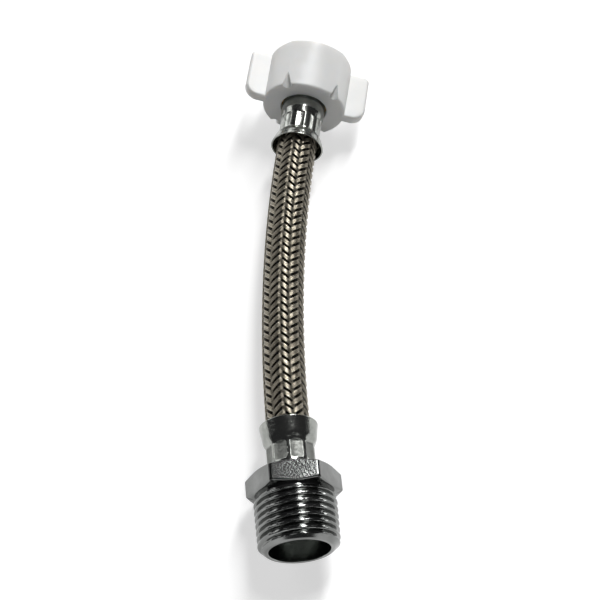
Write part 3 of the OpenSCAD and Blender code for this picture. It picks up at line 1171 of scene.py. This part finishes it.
@dataclass
class Outlet:
    """What the nut holds: the flanged brass stem and the rubber cone washer on its spigot."""

    place: Place
    stem_finish: StemBrass = field(default_factory=StemBrass)
    washer_finish: Rubber = field(default_factory=lambda: Rubber("washer_rubber"))
    base_z: float = 17.2
    stem_len: float = 12.0
    stem_r: float = 3.93
    barbs: int = 3
    barb_h: float = 0.4
    barb_edge: float = 0.02
    waterway_r: float = 2.75
    collar_r: float = 4.5
    collar_h: float = 0.6
    flange_r: float = 9.3
    flange_t: float = 1.5
    spigot_r: float = 4.8
    washer_bore_r: float = 4.85
    washer_r: float = 9.6
    washer_base_h: float = 1.4
    washer_cone_h: float = 2.6
    tip_wall: float = 1.65
    columns: int = 144

    def turn(self, name: str, corners: list, fillets: list[float]) -> bpy.types.Object:
        """Makes a turned piece from the corners of its closed outline.

        Args:
            name: Name of the piece.
            corners: (radius, height) of each corner, the last beside the first.
            fillets: Fillet at each corner.

        Returns:
            The piece, undressed.
        """
        path = rounded_path(corners, fillets, 0.4)
        angle = np.arange(self.columns) * TAU / self.columns
        surface = Surface()
        surface.add_ring(self.place.point(path[..., 0], angle, path[..., 1]), run=lathe_run(path))
        piece = surface.build(name)
        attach(piece, Body.OUTLET.value)
        return piece

    def build_stem(self) -> bpy.types.Object:
        """Makes the brass stem: barbs, collar, flange and spigot.

        Returns:
            The finished piece.
        """
        tip_z = self.base_z - self.stem_len
        step = (self.stem_len - self.collar_h) / self.barbs
        top_z = self.base_z + self.flange_t + self.washer_base_h
        corners = [(self.waterway_r, tip_z + 0.1), (self.waterway_r, tip_z)]
        corners += [(self.stem_r - self.barb_h, tip_z)]
        for i in range(self.barbs):
            end_z = tip_z + (i + 1) * step
            drop = self.barb_h * (i < self.barbs - 1)
            corners += [(self.stem_r, end_z - self.barb_edge), (self.stem_r - drop, end_z)]
        corners += [(self.collar_r, self.base_z - self.collar_h), (self.collar_r, self.base_z)]
        corners += [(self.flange_r, self.base_z), (self.flange_r, self.base_z + self.flange_t)]
        corners += [(self.spigot_r, self.base_z + self.flange_t), (self.spigot_r, top_z)]
        corners += [(self.waterway_r, top_z), (self.waterway_r, top_z - 0.5)]
        piece = self.turn("stem_outlet", corners, [0.15] * len(corners))
        self.stem_finish.dress(piece)
        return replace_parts(piece, "outlet_stem")

    def build_washer(self) -> bpy.types.Object:
        """Makes the rubber washer: a straight base and a cone.

        Returns:
            The finished piece.
        """
        low_z = self.base_z + self.flange_t
        shoulder_z = low_z + self.washer_base_h
        tip_z = shoulder_z + self.washer_cone_h
        tip_r = self.washer_bore_r + self.tip_wall
        corners = [(self.washer_bore_r, low_z + 0.2), (self.washer_bore_r, low_z), (self.washer_r, low_z)]
        corners += [(self.washer_r, shoulder_z), (tip_r, tip_z), (self.washer_bore_r, tip_z)]
        corners += [(self.washer_bore_r, low_z + 0.6)]
        piece = self.turn("washer_cone", corners, [0.0, 0.15, 0.3, 0.5, 0.4, 0.3, 0.0])
        self.washer_finish.dress(piece)
        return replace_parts(piece, "cone_washer")

    def build(self) -> list[bpy.types.Object]:
        """Makes both pieces.

        Returns:
            The finished pieces.
        """
        return [self.build_stem(), self.build_washer()]


@dataclass
class WingNut:
    """White plastic nut: two sides with wings and two that lean in, each between two notches."""

    place: Place
    finish: NutPlastic = field(default_factory=NutPlastic)
    thread: Thread = field(default_factory=lambda: Thread(depth=0.95))
    wing_turn: float = math.radians(18.0)
    height: float = 16.561
    base_r: float = 12.6
    mouth_r: float = 12.7
    hole_r: float = 6.95
    base_t: float = 2.2
    chamber_r: float = 10.55
    crest_r: float = 10.15
    thread_z: float = 8.2
    mouth_bevel: float = 0.65
    low_edge: float = 0.8
    top_edge: float = 0.4
    flat_in: float = 1.0
    flat_least: float = 0.05
    ridge_h: float = 0.32
    ridge_w: float = math.radians(9.0)
    notch_angle: float = math.radians(74.0)
    notch_h: float = 4.3
    notch_w: float = 2.7
    notch_in: float = 0.6
    wing_span: float = 37.5
    wing_t: float = 3.2
    wing_root_r: float = 11.3
    wing_low_r: float = 4.2
    wing_top_r: float = 1.6
    wing_edge: float = 0.75
    thread_fade: float = 0.8
    thread_rows: int = 72
    edge_rows: int = 15
    face_rows: int = 8
    columns: int = 420

    def from_side(self, angle: Array) -> Array:
        """Turn from the middle of the nearest plain side, either way."""
        return np.abs(angle % math.pi - math.pi / 2.0)

    def carved(self, radius: Array, angle: Array, height: Array) -> Array:
        """Radius of the nut's outside with its leaning faces and notches.

        A plain side is drawn in by a depth that grows from the mouth to the underside, in full at
        its middle and by 1 - t^2 towards its two notches, t being 1 there. A low ridge exp(-x^2)
        rises from each notch to the mouth. A notch is a cone that stands on the underside: the
        near side of a circle that shrinks to nothing at its height.

        Args:
            radius: Radius before the cuts.
            angle: Turn from the wings.
            height: Distance from the underside.

        Returns:
            Radius after the cuts.
        """
        from_side = self.from_side(angle)
        turn = from_side - self.notch_angle / 2.0
        share = np.maximum(1.0 - (2.0 * from_side / self.notch_angle) ** 2, 0.0)
        lean = self.flat_in * (1.0 - height / self.height) + self.flat_least
        outward = eased((radius - self.hole_r) / (self.base_r - self.hole_r))
        ridge = self.ridge_h * np.exp(-((turn / self.ridge_w) ** 2)) * height / self.height
        leaning = radius + (ridge - share * lean) * outward
        size = np.maximum(self.notch_w / 2.0 * (1.0 - height / self.notch_h), 1e-3)
        middle = self.base_r - self.notch_in
        reach = size**2 - (middle * np.sin(turn)) ** 2
        near = middle * np.cos(turn) - np.sqrt(np.maximum(reach, 0.0))
        notch = np.where(reach > 0.0, near, 2.0 * self.base_r)
        return np.where(radius > middle - size - 0.3, soft_min(leaning, notch, 0.18), leaning)

    def outside(self) -> Array:
        """Outline from the hole over the underside and the side to the mouth's bevel."""
        corners = [(self.hole_r, self.base_t / 2.0), (self.hole_r, 0.0), (self.base_r, 0.0)]
        corners += [(self.mouth_r, self.height), (self.crest_r + self.mouth_bevel, self.height)]
        corners += [(self.crest_r, self.height - self.mouth_bevel)]
        return rounded_path(corners, [0.0, 0.45, self.low_edge, self.top_edge, 0.3, 0.0], 0.22)

    def inside(self, angle: Array) -> Array:
        """Thread, chamber and the hole's upper half, as radius and height."""
        top = self.height - self.mouth_bevel
        start_z = self.thread_z - self.thread_fade / 2.0
        height = np.linspace(top - 0.05, start_z, self.thread_rows)[:, None]
        fade = eased((height - start_z) / self.thread_fade)
        cut = self.thread.depth * self.thread.ridge(angle, height)
        radius = self.chamber_r + fade * (self.crest_r + cut - self.chamber_r)
        screw = np.stack(np.broadcast_arrays(radius, height), -1)
        corners = [(self.chamber_r, self.thread_z - 0.6), (self.chamber_r, self.base_t)]
        corners += [(self.hole_r, self.base_t), (self.hole_r, self.base_t / 2.0 + 0.3)]
        chamber = rounded_path(corners, [0.0, 0.4, 0.2, 0.0], 0.8)
        return np.concatenate([screw, np.broadcast_to(chamber, (len(chamber), self.columns, 2))])

    def body(self) -> Surface:
        """Nut without its wings."""
        angle = np.arange(self.columns) * TAU / self.columns
        outline = self.outside()
        outer = np.broadcast_to(outline, (len(outline), self.columns, 2))
        radius = self.carved(outer[..., 0], angle, outer[..., 1])
        inner = self.inside(angle)
        radii = np.concatenate([radius, inner[..., 0]])
        heights = np.concatenate([outer[..., 1], inner[..., 1]])
        surface = Surface()
        turned = angle + math.pi / 2.0 + self.wing_turn
        surface.add_ring(self.place.point(radii, turned, heights))
        return surface

    def wing_outline(self, inset: Array, count: int = 24) -> Array:
        """Outline of a wing, as distance from the axis and height, drawn in by an inset.

        It is a rectangle with a quarter circle at each corner: the corner's centre plus its
        radius less the inset, round a quarter turn.

        Args:
            inset: (rows,) how far each outline lies inside the wing's edge.
            count: Points on each corner.

        Returns:
            (rows, 4 count, 2) outlines.
        """
        reach = self.wing_span / 2.0
        small = self.wing_edge + 0.05
        corners = [(self.wing_root_r, self.height, 1, -1, small), (self.wing_root_r, 0.0, 1, 1, small)]
        corners += [(reach, 0.0, -1, 1, self.wing_low_r), (reach, self.height, -1, -1, self.wing_top_r)]
        loops = []
        for number, (r, z, to_r, to_z, radius) in enumerate(corners):
            turn = (number + 1) * math.pi / 2.0 + np.linspace(0.0, math.pi / 2.0, count)
            size = (radius - inset)[:, None]
            out = r + to_r * radius + size * np.cos(turn)
            up = z + to_z * radius + size * np.sin(turn)
            loops.append(np.stack([out, up], -1))
        return np.concatenate(loops, axis=1)

    def wing(self, side: int) -> Surface:
        """One wing: its outline carried across its thickness, with rounded edges.

        Args:
            side: 1 for the right wing, -1 for the left.

        Returns:
            The wing's surface.
        """
        half = self.wing_t / 2.0
        round_turn = np.linspace(0.0, math.pi, self.edge_rows)
        inset = self.wing_edge * (1.0 - np.sin(round_turn))
        flat = half - self.wing_edge
        depth = self.wing_edge * np.cos(round_turn) + flat * np.sign(np.cos(round_turn).round(6))
        outline = self.wing_outline(inset)
        centre = outline.mean(axis=1, keepdims=True)
        shrink = np.linspace(0.06, 0.94, self.face_rows)[:, None, None]
        front = centre[:1] + shrink * (outline[:1] - centre[:1])
        rear = centre[-1:] + shrink[::-1] * (outline[-1:] - centre[-1:])
        loops = np.concatenate([front, outline, rear])
        flats = np.full(self.face_rows, half)
        out = side * loops[..., 0]
        depths = np.broadcast_to(np.concatenate([flats, depth, -flats])[:, None], out.shape)
        turned = self.wing_turn
        right = math.cos(turned) * self.place.right - math.sin(turned) * self.place.up
        thick = math.sin(turned) * self.place.right + math.cos(turned) * self.place.up
        grid = self.place.origin + out[..., None] * right + depths[..., None] * thick
        grid = grid + loops[..., 1][..., None] * self.place.along
        surface = Surface()
        surface.add_tubes(grid[None])
        return surface

    def build(self) -> bpy.types.Object:
        """Makes the nut: its body joined with both wings into one solid.

        Returns:
            The finished piece.
        """
        piece = self.body().build("nut_wing")
        for side in (1, -1):
            wing = self.wing(side).build("wing_tool")
            join = piece.modifiers.new("join", "BOOLEAN")
            join.operation = "UNION"
            join.solver = "EXACT"
            join.object = wing
            settle(piece)
            bpy.data.objects.remove(wing)
        piece.data.shade_smooth()
        piece.data.set_sharp_from_angle(angle=math.radians(40.0))
        self.finish.dress(piece)
        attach(piece, Body.NUT.value)
        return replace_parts(piece, "wing_nut")


def settle(piece: bpy.types.Object) -> None:
    """Applies a piece's modifiers to its mesh."""
    graph = bpy.context.evaluated_depsgraph_get()
    mesh = bpy.data.meshes.new_from_object(piece.evaluated_get(graph))
    old = piece.data
    piece.modifiers.clear()
    piece.data = mesh
    bpy.data.meshes.remove(old)
    mesh.name = piece.name


# The studio


@dataclass(frozen=True)
class Lamp:
    """A soft rectangular lamp that faces a point of the line."""

    name: str
    direction: tuple[float, float, float]
    size: tuple[float, float]
    radiance: float
    distance: float = 4.0

    def light(self, target: Vector) -> None:
        """Hangs the lamp at its distance from a target and turns it to face it.

        Args:
            target: Point in metres.
        """
        data = bpy.data.lights.new(self.name, "AREA")
        data.shape = "RECTANGLE"
        data.size, data.size_y = self.size
        data.energy = self.radiance * math.pi * self.size[0] * self.size[1]
        lamp = bpy.data.objects.new(self.name, data)
        back = Vector(self.direction).normalized()
        lamp.location = target + back * self.distance
        lamp.rotation_euler = back.to_track_quat("Z", "Y").to_euler()
        bpy.context.scene.collection.objects.link(lamp)


@dataclass(frozen=True)
class ViewPoint:
    """Where the photograph was taken from, fitted to the line's measured outlines."""

    focal_px: float = 1351.6
    azimuth: float = math.radians(-7.0)
    elevation: float = math.radians(59.1)
    roll: float = math.radians(2.2)
    target: tuple[float, float, float] = (6.62, 72.15, 0.1)
    distance: float = 379.5
    sensor: float = 36.0

    def camera(self) -> bpy.types.Object:
        """Makes the camera.

        Returns:
            The camera, which is the scene's.
        """
        side, tip = math.sin(self.azimuth), math.cos(self.azimuth)
        low, high = math.cos(self.elevation), math.sin(self.elevation)
        back = Vector((side * low, -tip * low, high))
        right = Vector((tip, side, 0.0))
        up = back.cross(right)
        cos, sin = math.cos(self.roll), math.sin(self.roll)
        axes = Matrix((cos * right + sin * up, cos * up - sin * right, back)).transposed()
        data = bpy.data.cameras.new("camera")
        data.sensor_width = self.sensor
        data.lens = self.sensor * self.focal_px / IMAGE_SIDE
        data.clip_start = 0.01
        camera = bpy.data.objects.new("camera", data)
        place = (Vector(self.target) + back * self.distance) * MM
        camera.matrix_world = Matrix.Translation(place) @ axes.to_4x4()
        bpy.context.scene.collection.objects.link(camera)
        bpy.context.scene.camera = camera
        return camera


@dataclass
class Studio:
    """Pale table, dim room and soft lamps."""

    floor_z: float
    view: ViewPoint = field(default_factory=ViewPoint)
    floor_side: float = 12.0
    floor_colour: Colour = (0.64, 0.64, 0.64)
    floor_glow: float = 0.56
    room: Colour = (0.05, 0.05, 0.052)
    lamps: tuple[Lamp, ...] = (
        Lamp("lamp_key", (0.28, 0.615, 0.737), (0.6, 2.9), 29.0),
        Lamp("lamp_left", (-0.771, 0.581, 0.259), (2.5, 1.7), 1.6),
        Lamp("lamp_right", (0.928, 0.366, 0.078), (0.4, 0.75), 9.0),
        Lamp("lamp_front", (0.0, -0.8, 0.6), (3.0, 2.0), 0.9),
        Lamp("lamp_back", (-0.3, 0.92, 0.25), (4.5, 0.7), 2.0),
    )

    def floor(self) -> bpy.types.Object:
        """Makes the table top: pale and matt, with a glow that only the camera, mirrors and glass see.

        Returns:
            The table top, which is not part of the line.
        """
        half = self.floor_side / 2.0
        share = np.array([[-1, -1], [1, -1], [1, 1], [-1, 1]]) * half / MM
        points = np.column_stack([share, np.full(4, self.floor_z)])
        surface = Surface()
        surface.add(points, [np.arange(4)[None]])
        table = surface.build("table_top")
        finish = Finish()
        graph = finish.begin("table_white")
        path = graph.node("ShaderNodeLightPath")
        rays = ("Is Camera Ray", "Is Glossy Ray", "Is Transmission Ray")
        camera, glossy, through = (Value(graph, path.outputs[ray]) for ray in rays)
        seen = camera + glossy + through
        glow = graph.node("ShaderNodeEmission", None, Strength=seen * self.floor_glow)
        matt = graph.node("ShaderNodeBsdfDiffuse", None, Color=opaque(self.floor_colour))
        both = graph.node("ShaderNodeAddShader", None, i0=matt.outputs[0], i1=glow.outputs[0])
        graph.node("ShaderNodeOutputMaterial", None, Surface=both.outputs[0])
        table.data.materials.append(graph.material)
        return table

    def build(self) -> None:
        """Makes the room, the table, the lamps and the camera."""
        scene = bpy.context.scene
        scene.view_settings.view_transform = "Standard"
        world = bpy.data.worlds.new("room")
        world.use_nodes = True
        scene.world = world
        graph = Graph(world.node_tree)
        dim = graph.node("ShaderNodeBackground", None, Color=opaque(self.room), Strength=1.0)
        graph.node("ShaderNodeOutputWorld", None, Surface=dim.outputs[0])
        self.floor()
        target = Vector(self.view.target) * MM
        for lamp in self.lamps:
            lamp.light(target)
        self.view.camera()


def main() -> None:
    """Builds the studio and every piece in order."""
    logging.basicConfig(level=logging.INFO, format="%(name)s: %(message)s")
    low, high = (np.array(corner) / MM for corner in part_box("inlet_ferrule"))
    route = Route(start_y=float(low[1]), inlet_len=float(high[1] - low[1]))
    outlet = route.outlet()
    floor_z = float(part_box("male_fitting")[0].z) / MM
    Studio(floor_z).build()
    inlet_ferrule = Ferrule(
        "ferrule_inlet", "inlet_ferrule", Body.INLET, INLET.moved(route.start_y),
        plain_len=2.5, flare_len=6.2, jaw_turn=math.radians(13.0), wear=1.0, crimp_len=5.35,
    )
    outlet_ferrule = Ferrule(
        "ferrule_outlet", "outlet_ferrule", Body.OUTLET, outlet.moved(route.outlet_len, turned_back=True),
        plain_len=7.6, flare_len=3.9, jaw_turn=math.radians(7.0), wear=0.15, waist=0.3,
    )
    nut_z = 14.7
    pieces = [MaleFitting().build(), inlet_ferrule.build()]
    pieces += Hose(route).build()
    pieces.append(outlet_ferrule.build())
    pieces += Outlet(outlet).build()
    pieces.append(WingNut(outlet.moved(nut_z)).build())
    for piece in pieces:
        log.info("%s: %d faces", piece.name, len(piece.data.polygons))


if __name__ == "__main__":
    main()
